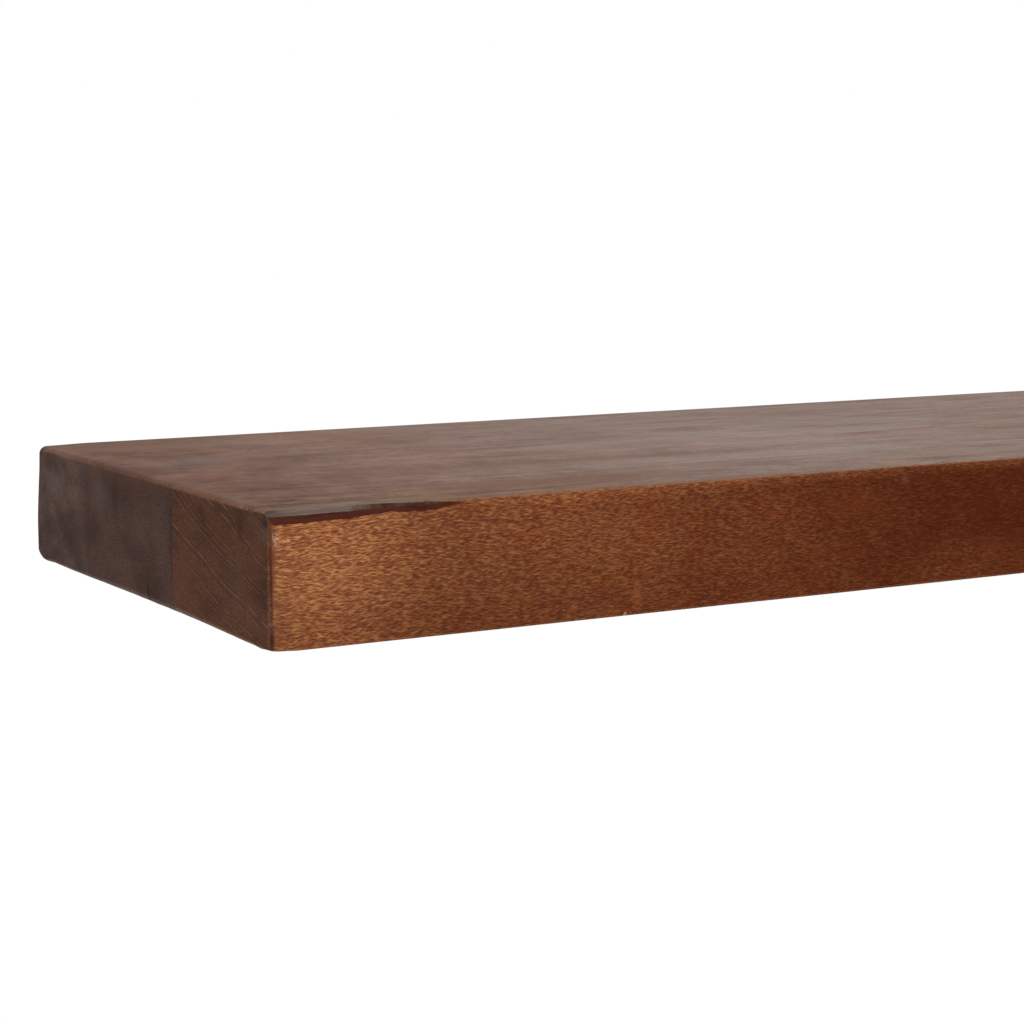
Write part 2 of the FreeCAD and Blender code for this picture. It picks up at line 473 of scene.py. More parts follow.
def side_tone(n, place, colours, blotch):
    """The long edges: braided ray flecks, under a stain that deepens rightwards and grows darker towards
    the bottom; the rightward deepening also stands in for light that falls off to the right, as painted
    shade.
    """
    fleck = ray_flecks(n, Place=place)
    tone = n.mix(n.ramp(fleck["Fleck"], 0, 0.36), colours.side_dark, colours.side_mid)
    tone = n.mix(n.ramp(fleck["Fleck"], 0.25, 1), tone, colours.side_light)
    x, _, z = n.split(place)
    # Less stain at the left and more to the right: partly stain, and partly painted light that is
    # brightest at the left and fades rightwards.
    clear = n.ramp(x, -446, -370, 1, 0.42) - n.ramp(x, -350, -130, 0, 0.42)
    clear = clear * n.ramp(z, -26, 8, 0.66, 1)
    # Paler just under the top arris, partly rubbed and partly a painted highlight where the rounding
    # catches the light; also paler low down towards the right.
    rubbed = n.ramp(z, 19.5, 24.5, 0, 0.22) + n.ramp(x, -230, -120) * n.ramp(z, 2, -20, 0, 0.13)
    clear = n.math("SUBTRACT", clear + rubbed + blotch * 0.1, 0.03, clamp=True)
    warm = stain_blotches(n, Place=place * (0.6, 1, 1), Size=13)["Patch"] * 0.5 + 0.3
    redder = tone * (1.07, 0.83, 0.71)
    tone = n.mix(warm * n.ramp(x, -400, -300, 0.35, 1), tone, redder)
    stain = n.mix(n.ramp(fleck["Fleck"], 0.1, 0.9), colours.side_stain, colours.fleck_stain)
    stained = n.mix(0.56, tone, colours.side_mid) * stain
    return n.mix(clear, stained, tone), fleck


def flat_tone(n, place, colours, grain, rings, shift):
    """The top and underside: broken streaks and patches, under a grey veil of painted sheen that thickens
    rightwards.
    """
    x, y, _ = n.split(place)
    patches = stain_blotches(n, Place=place * (0.32, 1.3, 1) + shift, Size=30)
    streak = grain["Fine"] * 0.4 + grain["Streak"] * 0.6
    tone = n.mix(streak, colours.top_dark, colours.top_light)
    # Painted sheen: a grey veil, thicker rightwards where the top is seen at a more grazing angle, varied
    # in patches.
    veil = n.mix(patches["Blotch"] * 0.7, colours.top_veil, srgb(144, 131, 125))
    veil = n.mix(patches["Patch"] * 0.5, veil, srgb(126, 92, 76))
    thick = n.ramp(x, -470, -330, 0, 0.45) + n.ramp(x, -330, -150, 0, 0.3)
    thick = thick - n.ramp(x, -150, 40, 0, 0.05) + patches["Blotch"] * 0.24 - 0.12
    tone = n.mix(thick, tone, veil)

    contrast = n.ramp(x, -440, -80, 0.54, 0.12)
    grit = n.noise(place * (0.36, 0.3, 0.3), roughness=0.75)
    figure = stain_blotches(n, Place=place * (1, 0.55, 1), Size=17)["Blotch"]
    strength = n.ramp(x, -390, -160, 0.26, 0.08)
    light = grain["Streak"] * 0.14 + grain["Line"] * 0.24 - rings["Band"] * 0.16 + 0.89
    light = light + ((grain["Fine"] - 0.5) + (grit - 0.5) * 0.9) * contrast
    light = light + (figure - 0.5) * strength
    tone = n.mix(figure * strength * 1.2, tone, srgb(118, 100, 92)) * light
    tone = n.mix(grain["Pores"] * 0.45, tone, srgb(54, 38, 30))
    # Warmer at the left, where the painted sheen is thinnest.
    tone = tone * n.mix(n.ramp(x, -370, -210), (1.06, 0.935, 0.89), (1, 1, 1))

    weathered = n.ramp(y, -215, -238) * n.ramp(x, -300, -370, 0.35, 1)
    lines = n.noise(place * (0.032, 0.19, 0.19), detail=3, roughness=0.65, distortion=0.4)
    specks = n.noise(place * (0.16, 0.26, 0.26), detail=3, roughness=0.7)
    for mask, weathering in (
            (n.ramp(lines, 0.52, 0.6) * 0.7, srgb(146, 114, 86)),
            (n.ramp(lines, 0.47, 0.39) * 0.5, srgb(70, 48, 38)),
            (n.ramp(specks, 0.45, 0.36) * 0.7, srgb(48, 36, 30))):
        tone = n.mix(mask * weathered, tone, weathering)
    return tone


def end_tone(n, place, colours, rings):
    """The end grain: soft stain patches crossed by the growth rings."""
    patch = stain_blotches(n, Place=place * (1, 1, 1.6), Size=34)
    tone = n.mix(patch["Blotch"], colours.end_dark, colours.end_light)
    tone = n.mix(patch["Patch"] * colours.end_warmth, tone, srgb(92, 58, 42))
    line = rings["Line"] * colours.ring_strength
    tone = n.mix(line, tone, colours.ring_line)
    pores = n.noise(place * (0.4, 0.45, 1.9), roughness=0.6)
    return n.mix(n.ramp(pores, 0.56, 0.36, 0, 0.42), tone, srgb(48, 35, 32)), line


def wood_material(name, colours, gloss, marks):
    """Stained wood whose figure follows the face: flecks, streaks or growth rings."""
    material, n, shader = new_material(name, colours.top_dark, 0.55)
    place = place_in_mm(n)
    face = facing(n)
    shift = (colours.figure_shift / MM, 0, 0)
    grain = grain_streaks(n, Place=place + shift)
    side, fleck = side_tone(n, place, colours, stain_blotches(n, Place=place, Size=42)["Blotch"])
    low, high = plank_box()
    rings = growth_rings(
        n, Place=place, Pith=(0, colours.pith_y / MM, colours.pith_z / MM),
        Spacing=colours.ring_spacing / MM, Bend=colours.ring_bend / MM,
        Centre=(0, low.y / MM, high.z / MM))
    flat = flat_tone(n, place, colours, grain, rings, shift)
    end, line = end_tone(n, place, colours, rings)

    whole = n.mix(face["End"], n.mix(face["Side"], flat, side), end)
    worn = face["Arris"] * n.ramp(fleck["Grit"], 0.42, 0.62)
    whole = n.mix(worn * colours.wear, whole, srgb(144, 98, 72))
    for centre, reach, rag, strength, tone, *speckled in marks:
        mark = surface_mark(
            n, Place=place, Centre=centre, Reach=reach, Rag=rag, Speckle=len(speckled))
        whole = n.mix(mark["Mark"] * strength, whole, srgb(*tone))

    height = fleck["Fleck"] * 0.5 + grain["Fine"] * 0.5 + line - grain["Pores"]
    n.put(shader, Base_Color=whole, Roughness=grain["Fine"] * 0.14 + 0.5)
    n.put(shader, Normal=n.bump(height, 0.3, 0.00012), Specular_IOR_Level=gloss)
    return material


# Surface marks: centre, reach, raggedness, strength and screen colour, and a 1 if speckled.
FRONT_MARKS = (
    ((-302.5, -254.3, -18), (3.2, 4, 7), 1.5, 0.34, (180, 112, 68)),
    ((-171.5, -254.3, 19.5), (3.6, 3, 3.6), 1, 0.45, (108, 76, 66)),
    ((-456.2, -254, 12), (2.9, 2.4, 27), 0.3, 0.85, (112, 62, 46)),
    # The next two marks are painted highlights: pale glints where the front left arris and a small ledge
    # catch the light.
    ((-454.4, -254.3, 15.2), (2.4, 2.6, 6), 0.8, 0.62, (220, 186, 154), 1),
    ((-449.8, -254.3, 15), (1.2, 2, 0.5), 0.4, 0.6, (214, 190, 176)),
    ((-457.2, -250.4, 17), (5, 5, 4.6), 0.7, 0.6, (84, 75, 65)),
    ((-457.2, -176, -8), (6, 20, 15), 0.7, 0.4, (100, 64, 46)),
    ((-457.2, -229, 16), (6, 5, 11), 0.9, 0.6, (58, 37, 29)),
    ((-457.2, -222, -6), (6, 16, 14), 1, 0.3, (74, 62, 56)),
    ((-456.3, -253.2, 0), (1.1, 1.2, 27), 0.3, 0.8, (74, 38, 28)),
    # Painted shade on the rounding at the foot of the front left arris, darker than the stain line above
    # it.
    ((-456, -252.9, -21), (1.6, 1.8, 7), 0.3, 0.9, (62, 31, 27)),
    # Painted shadow in the notch under the waney corner, on the end.
    ((-457, -250.6, 21.2), (3, 5, 3.4), 0.4, 0.8, (56, 41, 37)),
    ((-326, -254.3, -17), (26, 4, 8), 1.6, 0.4, (84, 44, 34)),
    ((-372, -254.3, -4), (24, 4, 12), 1.6, 0.25, (92, 50, 38)),
    ((-200, -254.3, 12), (22, 4, 9), 1.6, 0.3, (118, 58, 30)),
    ((-122, -254.3, -15), (20, 4, 8), 1.6, 0.3, (112, 56, 31)),
    ((-405, -251, 25.4), (120, 11, 1.2), 1, 0.9, (124, 96, 74)),
    ((-260, -253, 25.4), (110, 9, 1.2), 1, 0.8, (124, 90, 72)),
    ((-456.5, -195, 24), (5, 45, 6), 0.8, 0.45, (104, 71, 57)),
    ((-386, -236, 25.4), (60, 20, 4), 1, 0.6, (116, 88, 62)),
    ((-320, -229, 25.4), (90, 20, 4), 1, 0.75, (114, 78, 56)),
    ((-296, -169, 25.4), (140, 12, 4), 1, 0.6, (112, 76, 60)),
    ((-215, -192, 25.4), (130, 18, 4), 1, 0.5, (160, 140, 129)),
    ((-60, -232, 25.4), (80, 34, 4), 1, 0.35, (116, 94, 82)),
    ((-452, -254.3, -15), (12, 4, 18), 0.8, 0.3, (92, 58, 42)),
)
MIDDLE_MARKS = (
    ((-457.2, -161.5, 0), (8, 2.6, 30), 0.5, 0.45, (50, 38, 36)),
    ((-457.2, -100, 14), (8, 8, 16), 0.9, 0.8, (55, 41, 39)),
    ((-457.2, -82, 12), (8, 11, 12), 0.9, 0.6, (82, 74, 76)),
    ((-457.2, -67, 0), (8, 7, 34), 0.8, 0.5, (64, 48, 44)),
    ((-457.2, -135, 10), (8, 40, 7), 1.2, 0.3, (58, 46, 46)),
    ((-456.5, -120, 24), (5.5, 62, 7), 0.8, 0.6, (96, 68, 57)),
    ((-420, -98, 25.4), (40, 30, 4), 1.2, 0.4, (108, 98, 95)),
    ((-180, -118, 25.4), (170, 22, 4), 1, 0.4, (152, 134, 127)),
)
REAR_MARKS = (
    ((-457.2, -40, 24.6), (6, 13, 2.6), 0.8, 0.7, (124, 94, 68)),
    ((-457.2, -26, 11), (8, 22, 10), 1, 0.6, (96, 82, 79)),
    ((-457.2, -66, -4), (8, 13, 60), 0.8, 0.8, (66, 51, 47)),
    ((-457.2, -15, -9), (8, 11, 6), 0.9, 0.5, (62, 46, 38)),
    ((-457.2, -10, 6), (8, 9, 6), 0.9, 0.5, (66, 52, 56)),
    ((-456, -8.5, 23.5), (4, 3.6, 2.6), 0.6, 0.75, (46, 32, 25)),
    ((-360, -26, 25.4), (190, 44, 4), 1, 0.5, (130, 102, 77)),
    ((-110, -54, 25.4), (180, 10, 4), 1, 0.5, (116, 95, 86)),
    ((-110, -22, 25.4), (160, 46, 4), 1, 0.35, (112, 94, 82)),
    ((-456.5, -40, 24), (5, 40, 6), 0.8, 0.4, (100, 72, 62)),
    ((-412, -20, 25.4), (62, 40, 4), 1, 0.6, (98, 66, 50)),
)


def wood_pair(slot, colours, marks):
    """A stave's satin finish on its top and underside, and a matt one on its upright faces."""
    return [
        wood_material(slot, colours, 0.03, marks),
        wood_material(slot + "_matt", colours, 0.004, marks)]


def streaked_material(name, base_colour, roughness, length, width):
    """A new material and its streaks: (material, helper, shader node, place, streaks)."""
    material, n, shader = new_material(name, base_colour, roughness)
    place = place_in_mm(n)
    return material, n, shader, place, grain_streaks(n, Place=place, Length=length, Width=width)


def raw_wood():
    """Unstained wood inside bores and grooves, with the cutter's faint ripple."""
    if "raw_wood" in bpy.data.materials:
        return bpy.data.materials["raw_wood"]
    material, n, shader, place, grain = streaked_material(
        "raw_wood", srgb(178, 138, 98), 0.75, 40, 3)
    tone = n.mix(grain["Streak"], srgb(158, 116, 80), srgb(192, 154, 112))
    tone = n.mix(grain["Pores"] * 0.5, tone, srgb(112, 76, 50))
    height = n.math("SINE", n.split(place)[X] * 2.4) * 0.12 + grain["Fine"]
    n.put(shader, Base_Color=tone, Normal=n.bump(height, 0.35, 0.00015), Specular_IOR_Level=0.2)
    return material


def wane_materials():
    """The waney corner's facet, painted grey as sheen and darker at its left end as painted shade, and the
    dark stained band under it.
    """
    # The facet's grey is painted sheen.
    facet, n, shader, place, grain = streaked_material(
        "wane_facet", srgb(104, 96, 90), 0.42, 30, 2)
    mottle = stain_blotches(n, Place=place, Size=3)["Blotch"]
    grey = n.mix(grain["Streak"], srgb(90, 77, 70), srgb(120, 105, 96))
    dark = n.mix(mottle, srgb(46, 29, 23), srgb(78, 52, 42))
    x = n.split(place)[X]
    # The grey gives way to dark olive-brown rightwards, and the last 13 mm at the left end are darkened as
    # painted shade of the rounded corner.
    tone = n.mix(n.ramp(mottle * 8 + x, -422, -411), grey, dark) * n.ramp(x, -457, -444, 0.6, 1)
    n.put(shader, Base_Color=tone, Normal=n.bump(grain["Fine"], 0.3, 0.0001))
    n.put(shader, Specular_IOR_Level=0.05)

    band, n, shader, place, grain = streaked_material("wane_band", srgb(70, 26, 16), 0.5, 14, 1.4)
    mottle = stain_blotches(n, Place=place, Size=3)["Blotch"]
    tone = n.mix(grain["Streak"], srgb(58, 27, 20), srgb(82, 38, 27))
    tone = n.mix(mottle * 0.5, tone, srgb(70, 42, 33))
    n.put(shader, Base_Color=tone, Normal=n.bump(mottle, 0.4, 0.0002), Specular_IOR_Level=0.01)
    return facet, band


def plain_mark_material(name, tone):
    """A small chip or crack in one tone, broken up by the grain."""
    material, n, shader, _, grain = streaked_material(name, tone, 0.7, 6, 0.8)
    darker = [part * shade for part, shade in zip(tone, (0.7, 0.66, 0.62))]
    n.put(shader, Base_Color=n.mix(grain["Streak"], darker, tone), Specular_IOR_Level=0.1)
    return material


# ---------------------------------------------------------------- mesh helpers

def extent(node):
    low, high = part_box(node)
    return low, high, high - low, (low + high) / 2


def plank_box():
    """The lowest and highest corners of the three staves together."""
    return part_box("front_stave")[0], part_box("rear_stave")[1]


def easing(value, start, end):
    """Rises smoothly from 0 at start to 1 at end."""
    share = min(max((value - start) / (end - start), 0.0), 1.0)
    return share * share * (3 - 2 * share)


def nearness(value, face, far, near):
    """Rises smoothly from 0 at far mm from a face to 1 at near mm from it."""
    return easing(abs(value - face) / MM, far, near)


def blend(first, second, share):
    return first + (second - first) * share


def across(x, start, end):
    """The ends of a line along Y, halfway up the plank."""
    return Vector((x, start, 0)), Vector((x, end, 0))


def link_piece(name, bm, materials):
    """Turns a bmesh into a linked object with its materials."""
    mesh = bpy.data.meshes.new(name)
    bm.to_mesh(mesh)
    bm.free()
    for material in materials:
        mesh.materials.append(material)
    piece = bpy.data.objects.new(name, mesh)
    bpy.context.scene.collection.objects.link(piece)
    return piece


def applied(piece):
    """Bakes a piece's modifiers into its mesh."""
    bpy.context.view_layer.update()
    whole = piece.evaluated_get(bpy.context.evaluated_depsgraph_get())
    mesh = bpy.data.meshes.new_from_object(whole)
    piece.modifiers.clear()
    old = piece.data
    piece.data = mesh
    bpy.data.meshes.remove(old)
    mesh.name = piece.name
    return piece


def carved(piece, cutters, operation="DIFFERENCE"):
    """Cuts each cutter's shape out of a piece, whose cut faces take the cutter's material.

    Slivers that the cuts leave are merged.
    """
    for cutter in cutters:
        cut = piece.modifiers.new(cutter.name, "BOOLEAN")
        cut.operation = operation
        cut.solver = "MANIFOLD"
        cut.material_mode = "TRANSFER"
        cut.object = cutter
    applied(piece)
    for cutter in cutters:
        bpy.data.meshes.remove(cutter.data)
    bm = bmesh.new()
    bm.from_mesh(piece.data)
    bmesh.ops.dissolve_degenerate(bm, dist=SLIVER, edges=bm.edges)
    bm.to_mesh(piece.data)
    bm.free()
    return piece


def smoothed(piece, degrees):
    """Shades a piece smooth up to an angle, with its flat faces kept flat."""
    piece.data.shade_smooth()
    piece.data.set_sharp_from_angle(angle=math.radians(degrees))
    weighted = piece.modifiers.new("flat_faces", "WEIGHTED_NORMAL")
    weighted.keep_sharp = True
    weighted.weight = 80
    return applied(piece)


def stand_along(verts, bm, start, end):
    """Moves a shape made along +Z from the origin onto the line from start to end."""
    turn = (end - start).to_track_quat("Z", "Y").to_matrix().to_4x4()
    bmesh.ops.transform(bm, matrix=Matrix.Translation(start) @ turn, verts=verts)
    return verts


def add_cylinder(bm, radius, start, end, segments=64):
    """Adds a closed cylinder between two points."""
    depth = (end - start).length
    made = bmesh.ops.create_cone(
        bm, cap_ends=True, segments=segments, radius1=radius, radius2=radius, depth=depth,
        matrix=Matrix.Translation((0, 0, depth / 2)))
    return stand_along(made["verts"], bm, start, end)


def add_turned(bm, outline, start, end, segments=48):
    """Spins an outline of (radius, distance from start) pairs about the line to end."""
    verts = [bm.verts.new((radius, 0, distance)) for radius, distance in outline]
    edges = [bm.edges.new(pair) for pair in zip(verts, verts[1:])]
    bmesh.ops.spin(
        bm, geom=verts + edges, cent=(0, 0, 0), axis=(0, 0, 1), angle=math.tau,
        steps=segments, use_merge=True, use_duplicate=False)
    bmesh.ops.rotate(
        bm, verts=bm.verts, cent=(0, 0, 0), matrix=Matrix.Rotation(math.pi / segments, 3, "Z"))
    bmesh.ops.remove_doubles(bm, verts=bm.verts, dist=TOUCH)
    return stand_along(bm.verts, bm, start, end)


def add_hole(bm, radius, lip, start, end):
    """Adds the waste of a through hole whose rims are chamfered by lip."""
    depth, past = (end - start).length, 1 * MM
    outline = (
        (0, -past), (radius + lip, -past), (radius + lip, 0), (radius, lip),
        (radius, depth - lip), (radius + lip, depth), (radius + lip, depth + past),
        (0, depth + past))
    return add_turned(bm, outline, start, end)


def add_slot(bm, length, width, lip, start, end):
    """Adds the waste of a round-ended slot that runs along X."""
    add_hole(bm, width / 2, lip, start, end)
    for vert in bm.verts:
        vert.co.x += math.copysign((length - width) / 2, vert.co.x - start.x)


def add_box(bm, low, high):
    """Adds a box between two corners."""
    made = bmesh.ops.create_cube(bm, size=1)
    bmesh.ops.scale(bm, vec=high - low, verts=made["verts"])
    bmesh.ops.translate(bm, vec=(low + high) / 2, verts=made["verts"])
    return made["verts"]


def add_hexagon(bm, flats, start, end):
    """Adds a hexagonal prism with two corners straight up and down."""
    return add_cylinder(bm, flats / 2 / math.cos(math.pi / 6), start, end, segments=6)


def add_thread(bm, radius, depth, pitch, length, start, end, steps=32):
    """Adds a V that winds along the line to end: cut into a surface, it leaves a thread.

    A positive depth winds a groove into a rod, and a negative one a groove into a hole.
    """
    proud = math.copysign(0.12 * MM, depth)
    mouth = 0.42 * pitch * (1 + abs(proud / depth))
    section = (
        (radius + proud, -mouth), (radius + proud, mouth),
        (radius - depth, 0.06 * pitch), (radius - depth, -0.06 * pitch))
    verts = [bm.verts.new((r, 0, z - pitch)) for r, z in section]
    face = bm.faces.new(verts)
    turns = length / pitch + 1
    bmesh.ops.spin(
        bm, geom=[face], cent=(0, 0, 0), axis=(0, 0, 1), dvec=(0, 0, pitch / steps),
        angle=math.tau * turns, steps=round(steps * turns))
    bmesh.ops.holes_fill(bm, edges=[edge for edge in bm.edges if edge.is_boundary])
    for vert in bm.verts:
        fade = easing(vert.co.z, length - 0.8 * pitch, length)
        out = Vector((vert.co.x, vert.co.y, 0))
        vert.co += out.normalized() * fade * (depth + proud)
    return stand_along(bm.verts, bm, start, end)


def add_chip(bm, centre, size, seed):
    """Adds a rough lump, for a chip or dent."""
    made = bmesh.ops.create_icosphere(bm, subdivisions=2, radius=1)
    for vert in made["verts"]:
        vert.co *= 1 + 0.35 * noise.noise(vert.co * 1.7 + Vector((seed, 0, 0)))
        vert.co = centre + Vector(vert.co[i] * size[i] for i in range(3))
    return made["verts"]


def long_edges(bm, axis, at_least):
    """Edges that run along one axis and are longer than at_least."""
    found = []
    for edge in bm.edges:
        run = edge.verts[1].co - edge.verts[0].co
        if abs(run[axis]) > at_least and abs(run[axis]) > 0.999 * run.length:
            found.append(edge)
    return found


def add_crack(bm, low, high, seed):
    """Adds a thin upright wedge that wanders and closes towards its top."""
    verts = add_box(bm, low, high)
    bmesh.ops.subdivide_edges(bm, edges=long_edges(bm, Z, TOUCH), cuts=6)
    middle = (low.y + high.y) / 2
    for vert in bm.verts:
        share = (vert.co.z - low.z) / (high.z - low.z)
        wander = 0.5 * MM * noise.noise(Vector((seed, 0, vert.co.z * 160)))
        vert.co.y = middle + wander + (vert.co.y - middle) * (1 - 0.85 * share)
    return verts


def shaped(name, materials, build, *numbers):
    """An object of one material or several, whose shape one of the add_ functions makes."""
    bm = bmesh.new()
    build(bm, *numbers)
    bmesh.ops.recalc_face_normals(bm, faces=bm.faces)
    several = isinstance(materials, (list, tuple))
    return link_piece(name, bm, materials if several else [materials])


def bevelled(bm, edges, offset, segments):
    return bmesh.ops.bevel(
        bm, geom=edges, offset=offset, segments=segments, profile=0.5,
        affect="EDGES", material=-1)


def finished(piece, cutters, degrees, body, node):
    """Cuts and smooths a piece and hangs it on its body, in place of the node it stands for."""
    smoothed(carved(piece, cutters), degrees)
    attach(piece, body)
    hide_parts(node)


# ---------------------------------------------------------------- the staves

def add_stave(bm, node, sizes):
    """Adds a stave whose outer arrises are rounded and whose glue joints have a fine chamfer."""
    low, high, size, _ = extent(node)
    plank_low, plank_high = plank_box()
    joints = [y for y in (low.y, high.y) if min(abs(y - plank_low.y), abs(y - plank_high.y)) > MM]
    add_box(bm, low, high)

    def at_joint(edge):
        return any(all(abs(v.co.y - y) < TOUCH for v in edge.verts) for y in joints)

    bevelled(bm, [e for e in bm.edges if not at_joint(e)], sizes.blank_rounding, 10)
    bevelled(bm, [e for e in bm.edges if at_joint(e)], sizes.joint_chamfer, 1)
    bmesh.ops.subdivide_edges(
        bm, edges=long_edges(bm, X, 2 * sizes.slice_pitch),
        cuts=int(size.x / sizes.slice_pitch), use_grid_fill=True)
    for axis in (Y, Z):
        bmesh.ops.subdivide_edges(
            bm, edges=long_edges(bm, axis, 3 * sizes.slice_pitch),
            cuts=int(size[axis] / sizes.slice_pitch), use_grid_fill=True)
    round_arrises(bm, sizes)


HOLLOW_Y = -140 * MM  # Where the hollow under the left end is deepest.


def arris_radius(place, sizes, low, high, upright):
    """How far the arris at one place is rounded, uneven from sanding and handling."""
    front = nearness(place.y, low.y, 18, 8)
    left = nearness(place.x, low.x, 20, 8)
    worn = easing(place.z, low.z + 8 * MM, high.z)
    radius = blend(sizes.arris_radius, sizes.front_radius, front)
    corner = blend(sizes.crisp_radius, sizes.worn_radius, worn)
    radius = blend(radius, corner, left * nearness(place.y, high.y, 20, 8))
    if upright:
        corner = blend(sizes.foot_radius, sizes.worn_radius, worn)
        under_top = 1 - nearness(place.z, high.z, 8, 0)
        radius = blend(radius, corner, left * front * under_top)
    below = left * nearness(place.z, low.z, 12, 6)
    radius += sizes.hollow * below * nearness(place.y, HOLLOW_Y, 110, 20)
    return radius * (1 + 0.16 * noise.noise(place * 18) + 0.07 * noise.noise(place * 110))


def round_arrises(bm, sizes):
    """Draws each rounded arris in towards its edge until its rounding is right there."""
    low, high = plank_box()
    reach = sizes.blank_rounding * 1.001
    for vert in bm.verts:
        faces = [
            low[i] if vert.co[i] - low[i] < high[i] - vert.co[i] else high[i] for i in range(3)]
        near = [i for i in range(3) if abs(vert.co[i] - faces[i]) < reach]
        if len(near) > 1:
            place = vert.co.copy()
            for i in near:
                upright = i != Z and X in near and Y in near
                share = arris_radius(place, sizes, low, high, upright) / sizes.blank_rounding
                vert.co[i] = faces[i] + (place[i] - faces[i]) * share
        left = nearness(vert.co.x, low.x, 26, 0)
        rear = nearness(vert.co.y, high.y, 17, 0)
        vert.co.y -= sizes.corner_lean * left * rear * easing(vert.co.z, low.z + 16 * MM, high.z)


def add_heel(bm, sizes):
    """Adds the waste that rounds the foot of the rear left corner and fades out rightwards."""
    low, high = plank_box()
    slices, steps, past = 14, 16, 2 * MM
    rings = []
    for index in range(slices + 1):
        share = index / slices
        x = low.x - past + share * (sizes.heel_length + past)
        left = 1 - 0.85 * easing(share, 0.1, 1)
        depth, height = sizes.heel_depth * left, sizes.heel_height * left
        turns = [math.pi / 2 * step / steps for step in range(steps + 1)]
        ring = [(high.y - depth * (1 - math.sin(turn)), low.z + height * (1 - math.cos(turn)))
                for turn in turns]
        ring += [
            (high.y + past, low.z + height), (high.y + past, low.z - past),
            (high.y - depth, low.z - past)]
        rings.append([bm.verts.new((x, y, z)) for y, z in ring])
    for near, far in zip(rings, rings[1:]):
        for i in range(len(near)):
            bm.faces.new((near[i - 1], near[i], far[i], far[i - 1]))
    bm.faces.new(rings[0])
    bm.faces.new(rings[-1])


def mark_matt_faces(piece):
    """Gives the upright faces, which have little sheen, the second material."""
    for face in piece.data.polygons:
        face.material_index = 1 if abs(face.normal.z) < 0.35 else 0


# The waney corner's outline: distance from the left end, width on the top, height on the front.
WANE_OUTLINE = (
    (-2, 5.6, 4.9), (5, 3.6, 4.8), (18, 3.3, 4.7), (30, 3.6, 4.4), (40, 2.4, 3.6), (48, 1.4, 3.0),
    (55, 0.9, 3.5), (62, 0.8, 3.7), (70, 0.6, 3.0), (77, 0.4, 1.8), (84, 0.3, 0.9))


def wane_widths(distance):
    """The waney corner's width on the top and height on the front at one distance, in mm."""
    for near, far in zip(WANE_OUTLINE, WANE_OUTLINE[1:]):
        if distance <= far[0]:
            share = (distance - near[0]) / (far[0] - near[0])
            return [blend(near[i], far[i], share) for i in (1, 2)]
    return WANE_OUTLINE[-1][1:]


def add_wane(bm):
    """Adds the waste over the waney corner: a wavy wedge that tapers off to the right.

    Its upper facet takes the first material, and the band under it the second.
    """
    low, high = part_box("front_stave")
    corner = Vector((low.x, low.y, high.z))
    first, last = WANE_OUTLINE[0][0], WANE_OUTLINE[-1][0]
    beyond = 3.0
    add_box(bm, Vector((first, -1, -1)), Vector((last, 1, 1)))
    for face in bm.faces:
        face.material_index = 1 if face.normal.z < -0.5 else 0
    bmesh.ops.subdivide_edges(bm, edges=long_edges(bm, X, 2), cuts=86)
    for vert in bm.verts:
        along = vert.co.x
        back, down = wane_widths(along)
        back *= 1 + 0.18 * noise.noise(Vector((along * 0.16, 1.7, 0)))
        down *= 1 + 0.10 * noise.noise(Vector((along * 0.3, 5.1, 0)))
        ridge_back, ridge_down = 0.36 * back, 0.42 * down
        if vert.co.y > 0 and vert.co.z > 0:
            past = beyond / ridge_down
            back, down = back + (back - ridge_back) * past, -beyond
        elif vert.co.y > 0:
            back, down = ridge_back, ridge_down
        elif vert.co.z > 0:
            back, down = -beyond, -beyond
        else:
            past = beyond / ridge_back
            back, down = -beyond, down + (down - ridge_down) * past
        vert.co = corner + Vector((along, back, -down)) * MM


def bore_cutters(sizes, raw):
    """The bores for the support rods."""
    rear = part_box("rear_stave")[1].y
    made = []
    for name in RODS:
        low, _, size, middle = extent(name)
        radius = size.x / 2 + sizes.bore_clearance
        line = across(middle.x, rear + 5 * MM, low.y - sizes.bore_end_room)
        made.append(shaped(name + "_bore", raw, add_cylinder, radius, *line))
    return made


def groove_cutters(sizes, raw):
    """The groove for the plate, with pockets for the lock nuts and the screw heads."""
    metal = bpy.context.scene.shelf_metal
    plate_low, plate_high, _, _ = extent("wall_plate")
    room = Vector((sizes.groove_room, sizes.groove_floor_room, sizes.groove_room))
    opening = Vector((sizes.groove_room, 5 * MM, sizes.groove_room))
    made = [shaped("groove_waste", raw, add_box, plate_low - room, plate_high + opening)]
    for name in NUTS:
        nut_low, _, size, middle = extent(name)
        radius = size.z / 2 + sizes.nut_room
        line = across(middle.x, plate_low.y, nut_low.y - sizes.nut_room)
        made.append(shaped(name + "_pocket", raw, add_cylinder, radius, *line))
    for x in (-metal.slot_spacing / 2, metal.slot_spacing / 2):
        made.append(shaped(
            "head_pocket", raw, add_slot, sizes.head_pocket_length, sizes.head_pocket_width, 0,
            *across(x, plate_low.y, plate_low.y - sizes.head_pocket_depth + MM)))
    return made


def clamp_cutters(sizes, raw):
    """The stepped holes in the underside for the inserts and clamp screws."""
    metal = bpy.context.scene.shelf_metal
    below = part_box("rear_stave")[0].z - 2 * MM
    fit = 0.02 * MM
    made = []
    for insert, screw in zip(INSERTS, CLAMP_SCREWS):
        low, high, size, middle = extent(insert)
        steps = (
            ("flange", size.x / 2 + fit, low.z + metal.insert_flange),
            ("sleeve", size.x * SLEEVE_SHARE + fit, high.z),
            ("screw", extent(screw)[2].x / 2 + sizes.bore_clearance, 0.0))
        for part, radius, top in steps:
            start, end = (Vector((middle.x, middle.y, z)) for z in (below, top))
            made.append(shaped(insert + part, raw, add_cylinder, radius, start, end))
    return made


